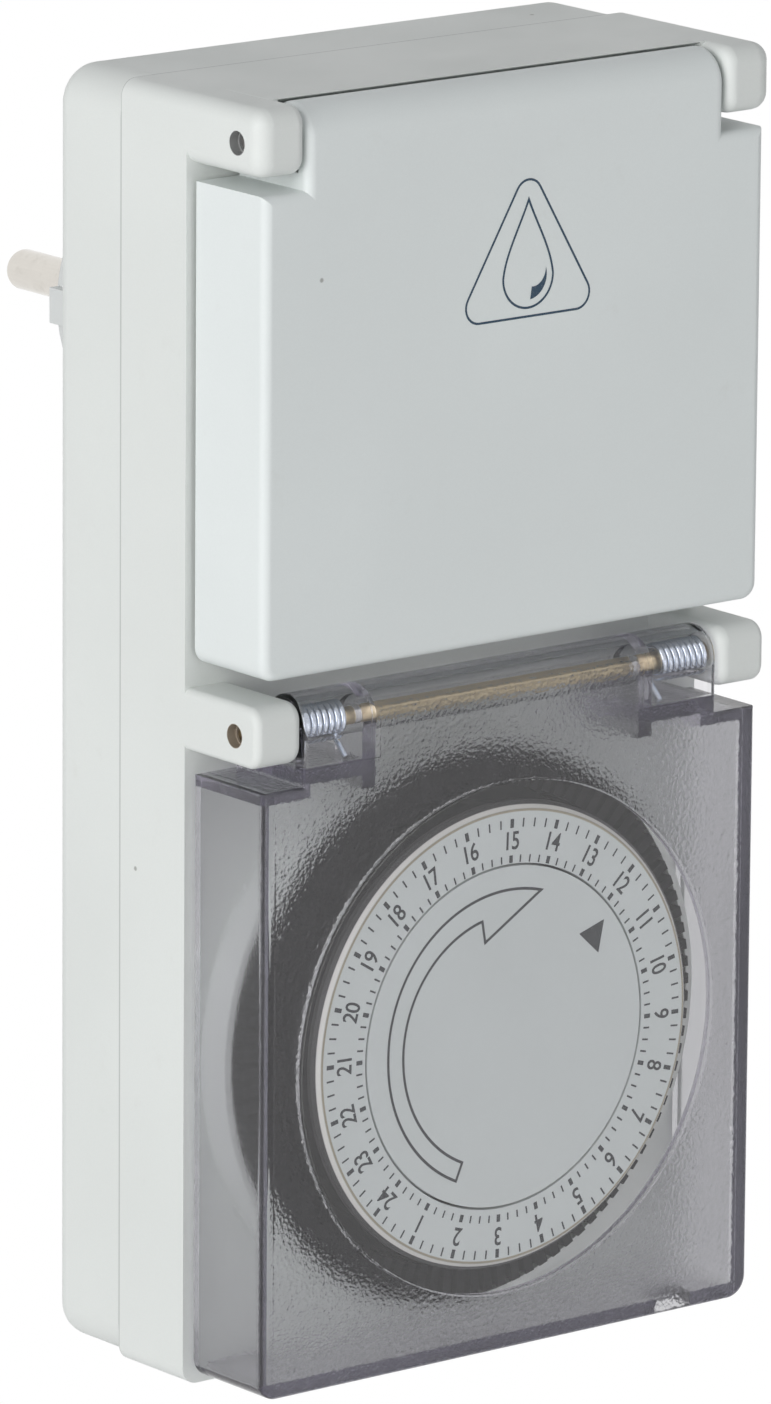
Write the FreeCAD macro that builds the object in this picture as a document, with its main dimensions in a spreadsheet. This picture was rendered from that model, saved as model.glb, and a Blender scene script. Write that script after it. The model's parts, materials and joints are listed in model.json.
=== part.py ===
"""Outdoor plug-in timer: a splash-proof 24-hour switch between a wall socket and a garden appliance.

Frame: the origin is on the plug's face, midway between its two pins. +Y points into the wall,
+Z up, and +X to the right for someone facing the dial. Millimetres.
"""
import FreeCAD, Part
import math
import os
import Sketcher

SIZES = {
    # housing
    "housing_width": 74.4,
    "housing_height": 150.0,
    "rear_depth": 12.6,
    "front_depth": 12.1,
    "wall": 2.2,
    "rear_corner": 4.5,
    "rear_edge": 2.5,
    "front_corner": 2.0,
    "front_edge": 0.8,
    "gasket_width": 1.0,
    "gasket_depth": 1.2,
    # plug and socket, both on one axis
    "socket_height": 116.0,
    "plug_reach": 25.0,
    "plug_radius": 18.5,
    "plug_wall": 2.0,
    "plug_face": 3.0,
    "plug_flange": 3.6,
    "flange_thickness": 2.0,
    "guide_rib_out": 1.3,
    "guide_rib_height": 4.2,
    "pin_spacing": 19.0,
    "pin_radius": 2.4,
    "pin_length": 19.0,
    "pin_neck": 2.2,
    "pin_head_radius": 3.4,
    "pin_head": 1.5,
    "pin_tip": 1.2,
    "recess_radius": 19.5,
    "recess_depth": 17.5,
    "socket_wall": 2.5,
    "socket_out": 9.5,
    "socket_floor": 2.0,
    "socket_flange": 1.6,
    "pin_hole_radius": 2.7,
    "earth_slot": 5.2,
    "earth_width": 4.4,
    "earth_sheet": 0.8,
    "earth_bulge": 1.3,
    "strap_width": 5.0,
    "strap_sheet": 0.9,
    "strap_inset": 3.6,
    "contact_wall": 0.8,
    "contact_clearance": 0.03,
    "contact_length": 18.0,
    "contact_tail": 5.2,
    "contact_solid": 3.2,
    "bar_sheet": 1.0,
    "bar_width": 5.0,
    "bar_drop": 8.0,
    "bar_gap": 0.3,
    # hinges
    "hinge_out": 9.2,
    "lid_hinge_drop": 4.1,
    "cover_hinge_height": 78.3,
    "ear_width": 6.6,
    "ear_out": 13.3,
    "lid_ear_drop": 3.8,
    "cover_ear_drop": 3.5,
    "cover_ear_rise": 3.7,
    "ear_round": 2.1,
    "ear_edge": 0.9,
    "ear_inner": 1.2,
    "roof_out": 8.0,
    "roof_drop": 3.6,
    "barrel_clearance": 0.3,
    "hinge_pin_radius": 1.12,
    "hinge_pin_clearance": 0.06,
    "pin_sink": 1.2,
    "sink_radius": 1.35,
    # lid over the socket
    "lid_margin": 0.95,
    "lid_out": 13.1,
    "lid_rise": 6.5,
    "lid_neck": 5.7,
    "lid_wall": 1.8,
    "lid_corner": 2.0,
    "lid_edge": 1.1,
    "lid_gasket_width": 2.6,
    # clear cover over the dial
    "cover_margin": 1.1,
    "cover_out": 13.0,
    "cover_bottom": 0.8,
    "cover_neck": 6.3,
    "cover_wall": 1.6,
    "cover_corner": 2.6,
    "cover_edge": 0.6,
    "window_radius": 30.3,
    "window_sink": 0.7,
    "notch_width": 5.2,
    "notch_margin": 10.5,
    "notch_depth": 3.0,
    # common to the lid and the cover
    "cover_gap": 0.6,
    "side_clearance": 0.4,
    "barrel_wall": 1.3,
    "pocket_width": 11.3,
    "rib_width": 1.9,
    "rib_depth": 2.8,
    "pocket_floor": 1.9,
    # torsion springs
    "spring_wire": 0.75,
    "spring_radius": 2.2,
    "spring_turns": 8,
    "spring_pitch": 0.85,
    "spring_margin": 7.6,
    "spring_angle": 45.0,
    # dial
    "dial_height": 37.9,
    "dial_out": 11.6,
    "disc_radius": 20.1,
    "disc_thickness": 1.4,
    "disc_hub": 5.5,
    "end_float": 0.2,
    "ring_gap": 0.3,
    "ring_radius": 27.6,
    "ring_thickness": 1.5,
    "ring_bevel": 0.9,
    "tappet_count": 96,
    "tappet_groups": 12,
    "tappet_inner": 28.3,
    "tappet_outer": 32.3,
    "tappet_width": 1.2,
    "tappet_out": 5.8,
    "tappet_travel": 2.5,
    "slot_clearance": 0.1,
    "carrier_radius": 32.5,
    "carrier_place": 0.5,
    "carrier_thickness": 2.5,
    "dial_clearance": 0.5,
    "collar_wall": 0.9,
    "collar_out": 4.5,
    "drum_wall": 2.2,
    "drum_hub": 7.0,
    "spindle_radius": 3.0,
    "spindle_clearance": 0.05,
    "spindle_flange": 6.0,
    "spindle_shoulder": 5.0,
    "gear_module": 0.8,
    "gear_teeth": 66,
    "gear_place": 7.0,
    "gear_width": 3.4,
    "pinion_teeth": 12,
    "tooth_thinning": 0.16,
    # mechanism
    "plate_place": 11.3,
    "plate_thickness": 1.5,
    "plate_width": 52.0,
    "plate_bottom": 3.0,
    "plate_top": 90.0,
    "motor_radius": 15.0,
    "motor_depth": 8.4,
    "motor_gap": 0.8,
    "motor_shaft": 1.2,
    "switch_x": 23.0,
    "switch_low": 60.0,
    "switch_high": 73.0,
    "switch_width": 13.0,
    "switch_depth": 8.4,
    "plunger_radius": 1.0,
    "plunger_height": 70.0,
    "plunger_clearance": 0.05,
    "lever_pivot": 82.0,
    "lever_nose": 57.0,
    "lever_width": 4.0,
    "lever_thickness": 2.0,
    "lever_eye": 1.8,
    "nose_gap": 0.3,
    "nose_width": 2.0,
    # screws
    "screw_end": 8.0,
    "screw_middle": 78.0,
    "boss_radius": 4.3,
    "post_radius": 3.9,
    "post_gap": 0.1,
    "screw_radius": 1.5,
    "screw_clearance": 0.2,
    "screw_thread_gap": 0.05,
    "screw_sink": 9.0,
    "screw_head_radius": 3.1,
    "screw_head": 2.2,
    "screw_length": 11.0,
    "head_clearance": 0.3,
    "drive_length": 3.6,
    "drive_width": 0.8,
    "drive_depth": 1.2,
    "plate_screw_x": 16.0,
    "plate_screw_low": 5.6,
    "plate_screw_high": 86.0,
    "plate_boss_radius": 2.5,
    "plate_screw_radius": 1.1,
    "plate_screw_head": 1.4,
    "plate_screw_head_radius": 2.2,
    "plate_screw_length": 6.0,
    "plate_drive_length": 2.5,
    "plate_drive_width": 0.6,
    "plate_drive_depth": 0.8,
    # seats
    "seat_gap": 0.05,
}

OVER = 1.0  # how far a cut runs past the face that it opens
SNAP = 1e-4  # how near an edge lies to a line to be on it

# Gear teeth, in modules.
TOOTH_FOOT = 1.25  # depth below the pitch circle
TOOTH_TIP = 0.8  # height above the pitch circle
TOOTH_FLARE = 0.42  # how much wider half a tooth is at its foot
TOOTH_TAPER = 0.3  # how much narrower half a tooth is at its tip


class Size:
    """A length that carries its value and the spreadsheet expression that gives it."""

    def __init__(self, text, value):
        self.text = text
        self.value = value

    def _join(self, sign, other, value):
        return Size(f"({self.text} {sign} {as_size(other).text})", value)

    def __add__(self, other):
        return self._join("+", other, self.value + as_size(other).value)

    def __sub__(self, other):
        return self._join("-", other, self.value - as_size(other).value)

    def __mul__(self, other):
        return self._join("*", other, self.value * as_size(other).value)

    def __truediv__(self, other):
        return self._join("/", other, self.value / as_size(other).value)

    def __radd__(self, other):
        return as_size(other) + self

    def __rsub__(self, other):
        return as_size(other) - self

    def __rmul__(self, other):
        return as_size(other) * self

    def __neg__(self):
        return Size(f"(0 - {self.text})", -self.value)


def as_size(number):
    """A plain number as a Size."""
    if isinstance(number, Size):
        return number
    return Size(repr(float(number)), float(number))


class Sizes:
    """The driving dimensions, each one bound to its spreadsheet cell."""

    def __init__(self, table):
        for name, value in table.items():
            setattr(self, name, Size(f"Sizes.{name}", float(value)))


S = Sizes(SIZES)

# Planes and axes that the pieces share.
HALF = S.housing_width / 2
BOTTOM = -S.socket_height
TOP = BOTTOM + S.housing_height
REAR = -S.plug_reach
PARTING = REAR - S.rear_depth
FRONT = PARTING - S.front_depth
HINGE_Y = FRONT - S.hinge_out
LID_AXIS = TOP - S.lid_hinge_drop
COVER_AXIS = BOTTOM + S.cover_hinge_height
DIAL_AXIS = BOTTOM + S.dial_height
EAR_X = HALF - S.ear_width
NECK_X = EAR_X - S.side_clearance
RIB_X = EAR_X - S.pocket_width
SPRING_X = EAR_X - S.spring_margin
LID_HALF = HALF - S.lid_margin
LID_BOTTOM = COVER_AXIS + S.lid_rise
LID_SHOULDER = LID_AXIS - S.lid_neck
COVER_HALF = HALF - S.cover_margin
COVER_BOTTOM = BOTTOM + S.cover_bottom
COVER_SHOULDER = COVER_AXIS - S.cover_neck
NOTCH_X = COVER_HALF - S.notch_margin
SCREW_X = HALF - S.wall - S.post_gap - S.post_radius
PIN_X = S.pin_spacing / 2
SOCKET_RIM = FRONT - S.socket_out
SOCKET_FLOOR = SOCKET_RIM + S.recess_depth
SOCKET_BACK = SOCKET_FLOOR + S.socket_floor
SOCKET_RADIUS = S.recess_radius + S.socket_wall
CONTACT_BACK = SOCKET_BACK + S.contact_length
PIN_ROOT = -S.plug_face
PIN_BACK = PIN_ROOT - S.pin_head
PLATE_FRONT = FRONT + S.plate_place
PLATE_BACK = PLATE_FRONT + S.plate_thickness
MOTOR_FRONT = PLATE_BACK + S.motor_gap
SWITCH_SIDE = S.switch_x + S.switch_width / 2
SWITCH_TOP = BOTTOM + S.switch_high
PINION_AXIS = DIAL_AXIS + S.gear_module * (S.gear_teeth + S.pinion_teeth) / 2
DIAL_HOLE = S.carrier_radius + S.dial_clearance
FLANGE_RADIUS = S.plug_radius + S.plug_flange
EARTH_TIP = SOCKET_RIM + S.recess_depth / 3

TURN = {
    "x": FreeCAD.Rotation(FreeCAD.Vector(0, 1, 0), 90),
    "y": FreeCAD.Rotation(FreeCAD.Vector(1, 0, 0), -90),
    "z": FreeCAD.Rotation(),
}


def both(half):
    """The span from -half to +half."""
    return (-half, as_size(half))


def bind_place(thing, at):
    """Binds an object's position to three sizes."""
    for axis, place in zip("xyz", at):
        thing.setExpression(f"Placement.Base.{axis}", as_size(place).text)


class Piece:
    """One sub-part: a PartDesign body, built feature by feature in its own frame."""

    def __init__(self, doc, label, at=(0, 0, 0)):
        self.doc = doc
        self.body = doc.addObject("PartDesign::Body", "Piece")
        self.body.Label = label
        bind_place(self.body, at)

    def _primitive(self, kind, name, at, turn, sizes, cut):
        sort = "Subtractive" if cut else "Additive"
        feature = self.body.newObject(f"PartDesign::{sort}{kind}", name)
        feature.Placement = FreeCAD.Placement(FreeCAD.Vector(), turn)
        bind_place(feature, at)
        for key, size in sizes.items():
            feature.setExpression(key, as_size(size).text)
        self.doc.recompute()
        return feature

    def box(self, name, x, y, z, cut=False):
        """A block between the low and high ends that x, y and z give."""
        sizes = {"Length": x[1] - x[0], "Width": y[1] - y[0], "Height": z[1] - z[0]}
        return self._primitive("Box", name, (x[0], y[0], z[0]), TURN["z"], sizes, cut)

    def rod(self, name, axis, centre, span, radius, cut=False):
        """A round rod along an axis, from span[0] to span[1], with its centre line at two coordinates."""
        at = list(centre)
        at.insert("xyz".index(axis), span[0])
        sizes = {"Radius": radius, "Height": span[1] - span[0]}
        return self._primitive("Cylinder", name, at, TURN[axis], sizes, cut)

    def origin(self, role):
        """The body's own plane or axis with this role."""
        return next(f for f in self.body.Origin.OriginFeatures if f.Role == role)

    def sketch(self, name, plane, offset, points):
        """A closed outline of straight lines whose corners are bound to sizes."""
        sketch = self.body.newObject("Sketcher::SketchObject", name)
        sketch.AttachmentSupport = (self.origin(plane), [""])
        sketch.MapMode = "FlatFace"
        sketch.setExpression("AttachmentOffset.Base.z", as_size(offset).text)
        places = [FreeCAD.Vector(as_size(u).value, as_size(v).value, 0) for u, v in points]
        for i, start in enumerate(places):
            sketch.addGeometry(Part.LineSegment(start, places[(i + 1) % len(places)]), False)
        for i, (u, v) in enumerate(points):
            sketch.addConstraint(Sketcher.Constraint("Coincident", i, 2, (i + 1) % len(points), 1))
            for sort, key, size in (("DistanceX", f"u{i}", u), ("DistanceY", f"v{i}", v)):
                row = sketch.addConstraint(Sketcher.Constraint(sort, -1, 1, i, 1, as_size(size).value))
                sketch.renameConstraint(row, key)
                sketch.setExpression(f"Constraints.{key}", as_size(size).text)
        self.doc.recompute()
        return sketch

    def turned(self, name, points):
        """A turned solid about the body's own Y axis; the points are (radius, y)."""
        sketch = self.sketch(f"{name}Outline", "XY_Plane", 0, points)
        feature = self.body.newObject("PartDesign::Revolution", name)
        feature.Profile = sketch
        feature.ReferenceAxis = (self.origin("Y_Axis"), [""])
        feature.Angle = 360
        self.doc.recompute()
        return feature

    def profile(self, name, span, points):
        """A block along X between span[0] and span[1]; the points are its (y, z) outline."""
        sketch = self.sketch(f"{name}Outline", "YZ_Plane", span[0], points)
        feature = self.body.newObject("PartDesign::Pad", name)
        feature.Profile = sketch
        feature.setExpression("Length", (span[1] - span[0]).text)
        self.doc.recompute()
        return feature

    def plan(self, name, span, points):
        """A block along Y between span[0] and span[1]; the points are its (x, z) outline."""
        sketch = self.sketch(f"{name}Outline", "XZ_Plane", -span[1], points)
        feature = self.body.newObject("PartDesign::Pad", name)
        feature.Profile = sketch
        feature.setExpression("Length", (span[1] - span[0]).text)
        self.doc.recompute()
        return feature

    def repeat(self, name, feature, count):
        """Copies of a feature all round the body's own Y axis."""
        pattern = self.body.newObject("PartDesign::PolarPattern", name)
        pattern.Originals = [feature]
        pattern.Axis = (self.origin("Y_Axis"), [""])
        pattern.Angle = 360
        pattern.setExpression("Occurrences", as_size(count).text)
        self.body.Tip = pattern
        self.doc.recompute()
        return pattern

    def soften(self, name, radius, pick, kind="Fillet"):
        """Rounds or bevels the edges that pick accepts."""
        base = self.body.Tip
        names = [f"Edge{i}" for i, edge in enumerate(base.Shape.Edges, 1) if pick(edge)]
        feature = self.body.newObject(f"PartDesign::{kind}", name)
        feature.Base = (base, names)
        feature.setExpression("Radius" if kind == "Fillet" else "Size", as_size(radius).text)
        self.doc.recompute()
        return feature


def is_along(axis):
    """Accepts straight edges parallel to an axis."""
    unit = TURN[axis].multVec(FreeCAD.Vector(0, 0, 1))

    def pick(edge):
        straight = edge.Curve.TypeId == "Part::GeomLine"
        return straight and abs(abs(edge.tangentAt(edge.FirstParameter).dot(unit)) - 1) < SNAP

    return pick


def is_on(axis, place):
    """Accepts edges that lie in the plane where an axis has this place."""
    letter = axis.upper()
    where = as_size(place).value

    def pick(edge):
        box = edge.BoundBox
        low, high = getattr(box, f"{letter}Min"), getattr(box, f"{letter}Max")
        return abs(low - where) < SNAP and abs(high - where) < SNAP

    return pick


def is_between(axis, low, high):
    """Accepts edges whose middle lies between two places on an axis."""
    index = "xyz".index(axis)
    ends = as_size(low).value - SNAP, as_size(high).value + SNAP
    return lambda edge: ends[0] <= edge.CenterOfMass[index] <= ends[1]


def all_of(*picks):
    """Accepts edges that every test accepts."""
    return lambda edge: all(pick(edge) for pick in picks)


def screw_places():
    """Centres of the six housing screws."""
    heights = (BOTTOM + S.screw_end, BOTTOM + S.screw_middle, TOP - S.screw_end)
    return [(side * SCREW_X, z) for z in heights for side in (-1, 1)]


def plate_screw_places():
    """Centres of the four screws that hold the mechanism plate."""
    heights = (S.plate_screw_low, S.plate_screw_high)
    return [(side * S.plate_screw_x, BOTTOM + z) for z in heights for side in (-1, 1)]


def rear_shell(doc):
    """Back half of the housing: a tray with the plug's hole and six sunk screw bosses."""
    piece = Piece(doc, "rear_shell")
    piece.box("Tray", both(HALF), (PARTING, REAR), (BOTTOM, TOP))
    piece.soften("TrayCorners", S.rear_corner, is_along("y"))
    piece.soften("TrayEdge", S.rear_edge, is_on("y", REAR))
    inner = HALF - S.wall
    height = (BOTTOM + S.wall, TOP - S.wall)
    piece.box("Hollow", both(inner), (PARTING - OVER, REAR - S.wall), height, cut=True)
    for place in screw_places():
        piece.rod("Boss", "y", place, (PARTING, REAR - S.wall / 2), S.boss_radius)
        seat = REAR - S.screw_sink
        piece.rod("Sink", "y", place, (seat, REAR + OVER), S.screw_head_radius + S.head_clearance, cut=True)
        way = S.screw_radius + S.screw_clearance
        piece.rod("Way", "y", place, (PARTING - OVER, seat + OVER), way, cut=True)
    hole = S.plug_radius + S.seat_gap
    piece.rod("PlugHole", "y", (0, 0), (REAR - S.wall - OVER, REAR + OVER), hole, cut=True)
    return piece


def mirrored(side, near, far):
    """The span from near to far on one side of the middle, low end first."""
    return (side * near, side * far) if side > 0 else (side * far, side * near)


def add_ears(piece, low, high):
    """A pair of hinge ears between two heights."""
    for side in (-1, 1):
        piece.box("Ear", mirrored(side, EAR_X, HALF), (FRONT - S.ear_out, FRONT + S.wall / 2), (low, high))


def bore_ears(piece, axis):
    """The hinge pin's holes through a pair of ears, with a wider mouth outside."""
    ears = both(HALF + OVER)
    piece.rod("PinHole", "x", (HINGE_Y, axis), ears, S.hinge_pin_radius + S.hinge_pin_clearance, cut=True)
    for side in (-1, 1):
        mouth = mirrored(side, HALF - S.pin_sink, HALF + OVER)
        piece.rod("PinMouth", "x", (HINGE_Y, axis), mouth, S.sink_radius, cut=True)


def front_shell(doc):
    """Front half of the housing: the face with the socket hole, dial collar, roof and hinge ears."""
    piece = Piece(doc, "front_shell")
    piece.box("Tray", both(HALF), (FRONT, PARTING), (BOTTOM, TOP))
    add_ears(piece, LID_AXIS - S.lid_ear_drop, TOP)
    add_ears(piece, COVER_AXIS - S.cover_ear_drop, COVER_AXIS + S.cover_ear_rise)
    at_side = lambda edge: abs(abs(edge.CenterOfMass.x) - HALF.value) < SNAP
    at_end = lambda edge: min(abs(edge.CenterOfMass.z - end.value) for end in (BOTTOM, TOP)) < SNAP
    piece.soften("EarRound", S.ear_round, all_of(is_along("x"), is_on("y", FRONT - S.ear_out)))
    piece.soften("TrayCorners", S.front_corner, all_of(is_along("y"), at_side, at_end))
    piece.soften("EarEdge", S.ear_edge, all_of(at_side, is_between("y", FRONT - S.ear_out, FRONT - S.wall)))
    at_gap = lambda edge: abs(abs(edge.CenterOfMass.x) - EAR_X.value) < SNAP
    piece.soften("EarInner", S.ear_inner, all_of(at_gap, is_between("y", FRONT - S.ear_out, FRONT - S.wall)))
    piece.box("Roof", both(EAR_X + OVER), (FRONT - S.roof_out, FRONT + S.wall / 2), (TOP - S.roof_drop, TOP))
    inner = both(HALF - S.wall)
    low = BOTTOM + S.wall
    high = TOP - S.wall
    piece.box("Hollow", inner, (FRONT + S.wall, PARTING + OVER), (low, high), cut=True)
    lip = S.gasket_width
    rebate = both(HALF - S.wall + lip)
    piece.box("Rebate", rebate, (PARTING - S.gasket_depth, PARTING + OVER), (low - lip, high + lip), cut=True)
    barrel = S.lid_out - S.hinge_out + S.barrel_clearance
    piece.rod("RoofArch", "x", (HINGE_Y, LID_AXIS), both(EAR_X), barrel, cut=True)
    bore_ears(piece, LID_AXIS)
    bore_ears(piece, COVER_AXIS)
    collar = (FRONT - S.collar_out, FRONT + S.wall)
    piece.rod("Collar", "y", (0, DIAL_AXIS), collar, DIAL_HOLE + S.collar_wall)
    piece.rod("DialHole", "y", (0, DIAL_AXIS), (collar[0] - OVER, collar[1] + OVER), DIAL_HOLE, cut=True)
    socket = SOCKET_RADIUS + S.seat_gap
    piece.rod("SocketHole", "y", (0, 0), (FRONT - OVER, FRONT + S.wall + OVER), socket, cut=True)
    add_screw_posts(piece)
    return piece


def add_screw_posts(piece):
    """Posts inside the front shell for the housing screws and the mechanism plate's screws."""
    root = FRONT + S.wall / 2
    for place in screw_places():
        piece.rod("ScrewPost", "y", place, (root, PARTING), S.post_radius)
        bottom = REAR - S.screw_sink - S.screw_length - OVER
        hole = S.screw_radius + S.screw_thread_gap
        piece.rod("Thread", "y", place, (bottom, PARTING + OVER), hole, cut=True)
    for place in plate_screw_places():
        piece.rod("Post", "y", place, (root, PLATE_FRONT), S.plate_boss_radius)
        bottom = PLATE_BACK - S.plate_screw_length - OVER
        hole = S.plate_screw_radius + S.screw_thread_gap
        piece.rod("PostThread", "y", place, (bottom, PLATE_FRONT + OVER), hole, cut=True)


def housing_gasket(doc):
    """Rubber frame in the rebate between the two housing halves."""
    piece = Piece(doc, "housing_gasket")
    outer = HALF - S.wall + S.gasket_width
    y = (PARTING - S.gasket_depth, PARTING)
    low = BOTTOM + S.wall
    high = TOP - S.wall
    piece.box("Frame", both(outer), y, (low - S.gasket_width, high + S.gasket_width))
    piece.box("Inside", both(HALF - S.wall), (y[0] - OVER, y[1] + OVER), (low, high), cut=True)
    return piece


def screws(doc, label, places, seat, shank, head, length, drive):
    """Pan-head screws with a cross recess; each head stands behind its seat."""
    piece = Piece(doc, label)
    for x, z in places:
        piece.rod("Shank", "y", (x, z), (seat - length, seat + head[1] / 2), shank)
        piece.rod("Head", "y", (x, z), (seat, seat + head[1]), head[0])
    back = seat + head[1]
    piece.soften("HeadEdge", S.front_edge / 2, is_on("y", back))
    for x, z in places:
        long, short = drive[0] / 2, drive[1] / 2
        y = (back - drive[2], back + OVER)
        piece.box("DriveAcross", (x - long, x + long), y, (z - short, z + short), cut=True)
        piece.box("DriveUp", (x - short, x + short), y, (z - long, z + long), cut=True)
    return piece


def plug_body(doc):
    """Round plug boss: a cup that stands out of the rear shell, with guide ribs and earth recesses."""
    piece = Piece(doc, "plug_body")
    inside = REAR - S.wall
    bore = S.plug_radius - S.plug_wall
    face = as_size(0)
    piece.turned(
        "Cup",
        [
            (as_size(0), PIN_ROOT),
            (bore, PIN_ROOT),
            (bore, inside - S.flange_thickness),
            (FLANGE_RADIUS, inside - S.flange_thickness),
            (FLANGE_RADIUS, inside),
            (S.plug_radius, inside),
            (S.plug_radius, face),
            (as_size(0), face),
        ],
    )
    piece.soften("FaceEdge", S.front_edge, is_on("y", face))
    wide = S.strap_width / 2 + S.seat_gap * 2
    narrow = S.strap_width / 2 + S.seat_gap
    floor = S.plug_radius - S.strap_sheet - S.seat_gap * 3
    for side in (-1, 1):
        rib = mirrored(side, bore, S.plug_radius + S.guide_rib_out)
        piece.box("Rib", rib, (REAR + S.seat_gap, -S.front_edge), both(S.guide_rib_height / 2))
        recess = mirrored(side, floor, S.plug_radius + OVER)
        piece.box("StrapRecess", both(wide), (REAR + S.wall, face + OVER), recess, cut=True)
        slot = mirrored(side, bore - OVER, S.plug_radius + OVER)
        piece.box("StrapSlot", both(narrow), strap_bar(S.seat_gap * 2), slot, cut=True)
        hole = S.pin_neck + S.seat_gap
        piece.rod("PinHole", "y", (side * PIN_X, 0), (PIN_ROOT - OVER, OVER), hole, cut=True)
    return piece


def strap_bar(margin):
    """Y span of the earth strap's cross bar, with a margin each way."""
    front = REAR + S.wall + S.strap_inset
    return (front - margin, front + S.strap_sheet + margin)


def plug_pin(doc, label, side):
    """One plug pin: a round prong with a rounded tip, a neck through the face and a head inside."""
    piece = Piece(doc, label, at=(side * PIN_X, 0, 0))
    piece.rod("Prong", "y", (0, 0), (as_size(0), S.pin_length), S.pin_radius)
    piece.soften("Tip", S.pin_tip, is_on("y", S.pin_length))
    piece.rod("Neck", "y", (0, 0), (PIN_ROOT, as_size(OVER)), S.pin_neck)
    piece.rod("Head", "y", (0, 0), (PIN_BACK, PIN_ROOT), S.pin_head_radius)
    return piece


def plug_earth_strap(doc):
    """Earth contact of the plug: a bent strap along the top and bottom of the boss, joined inside."""
    piece = Piece(doc, "plug_earth_strap")
    half = both(S.strap_width / 2)
    outer = S.plug_radius - S.seat_gap * 2
    bar = strap_bar(as_size(0))
    piece.box("Bar", half, bar, both(outer))
    for side in (-1, 1):
        piece.box("Contact", half, (bar[0], -S.front_edge), mirrored(side, outer - S.strap_sheet, outer))
    link = (SOCKET_BACK + S.earth_sheet, bar[1])
    piece.box("Link", half, link, both(S.strap_sheet / 2))
    return piece


def socket_insert(doc):
    """Socket cup: round recess with pin holes, side guide ribs and slots for the earth clip."""
    piece = Piece(doc, "socket_insert")
    flange = FRONT + S.wall
    piece.turned(
        "Cup",
        [
            (as_size(0), SOCKET_FLOOR),
            (S.recess_radius, SOCKET_FLOOR),
            (S.recess_radius, SOCKET_RIM),
            (SOCKET_RADIUS, SOCKET_RIM),
            (SOCKET_RADIUS, flange),
            (SOCKET_RADIUS + S.socket_flange, flange),
            (SOCKET_RADIUS + S.socket_flange, flange + S.socket_flange),
            (SOCKET_RADIUS, flange + S.socket_flange),
            (SOCKET_RADIUS, SOCKET_BACK),
            (as_size(0), SOCKET_BACK),
        ],
    )
    piece.soften("RimEdge", S.front_edge / 2, is_on("y", SOCKET_RIM))
    slot = S.recess_radius + S.earth_sheet + S.seat_gap * 4
    for side in (-1, 1):
        rib = mirrored(side, S.recess_radius - S.guide_rib_out, SOCKET_RADIUS - S.socket_wall / 2)
        depth = (SOCKET_RIM + S.guide_rib_height, SOCKET_FLOOR + OVER)
        piece.box("Rib", rib, depth, both(S.guide_rib_height / 2))
        through = (SOCKET_FLOOR - OVER, SOCKET_BACK + OVER)
        piece.rod("PinHole", "y", (side * PIN_X, 0), through, S.pin_hole_radius, cut=True)
        opening = mirrored(side, S.recess_radius - OVER * 2, slot)
        piece.box("EarthSlot", both(S.earth_slot / 2), (EARTH_TIP - OVER / 2, through[1]), opening, cut=True)
    return piece


def socket_earth_clip(doc):
    """Earth clip of the socket: a strip behind the floor with a sprung finger at the top and bottom."""
    piece = Piece(doc, "socket_earth_clip")
    half = both(S.earth_width / 2)
    sheet = S.earth_sheet
    outer = S.recess_radius + sheet + S.seat_gap * 2
    inner = S.recess_radius - S.earth_bulge
    knee = EARTH_TIP + S.earth_bulge * 3
    piece.box("Strip", half, (SOCKET_BACK, SOCKET_BACK + sheet), both(outer))
    for side in (-1, 1):
        outline = [
            (SOCKET_BACK + sheet / 2, side * outer),
            (EARTH_TIP, side * outer),
            (EARTH_TIP, side * (outer - sheet)),
            (knee, side * inner),
            (SOCKET_FLOOR - sheet, side * (outer - sheet)),
            (SOCKET_BACK + sheet / 2, side * (outer - sheet)),
        ]
        piece.profile("Finger", half, outline)
    return piece


def contact(doc, label, side):
    """Sleeve behind one socket hole that grips the appliance's pin, with a tail plate behind."""
    piece = Piece(doc, label, at=(side * PIN_X, 0, 0))
    bore = S.pin_radius + S.contact_clearance
    outer = bore + S.contact_wall
    piece.rod("Sleeve", "y", (0, 0), (SOCKET_BACK + S.seat_gap, CONTACT_BACK), outer)
    piece.box("Tail", both(outer), (CONTACT_BACK, CONTACT_BACK + S.bar_sheet), (-S.contact_tail, outer))
    piece.rod("Bore", "y", (0, 0), (SOCKET_BACK, CONTACT_BACK), bore, cut=True)
    slot = both(S.contact_wall / 2)
    depth = (SOCKET_BACK, CONTACT_BACK - S.contact_solid)
    piece.box("Split", slot, depth, (as_size(0), outer + OVER), cut=True)
    return piece


def neutral_bar(doc):
    """Copper bar from the neutral pin to the neutral sleeve."""
    piece = Piece(doc, "neutral_bar", at=(-PIN_X, 0, 0))
    half = both(S.bar_width / 2)
    sheet = S.bar_sheet
    low = -S.bar_drop
    foot = CONTACT_BACK + sheet
    piece.box("Run", half, (foot, PIN_BACK), (low, low + sheet))
    piece.box("Foot", half, (foot, foot + sheet), (low, -S.pin_radius))
    piece.box("Head", half, (PIN_BACK - sheet, PIN_BACK), (low, S.pin_head_radius))
    return piece


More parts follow.
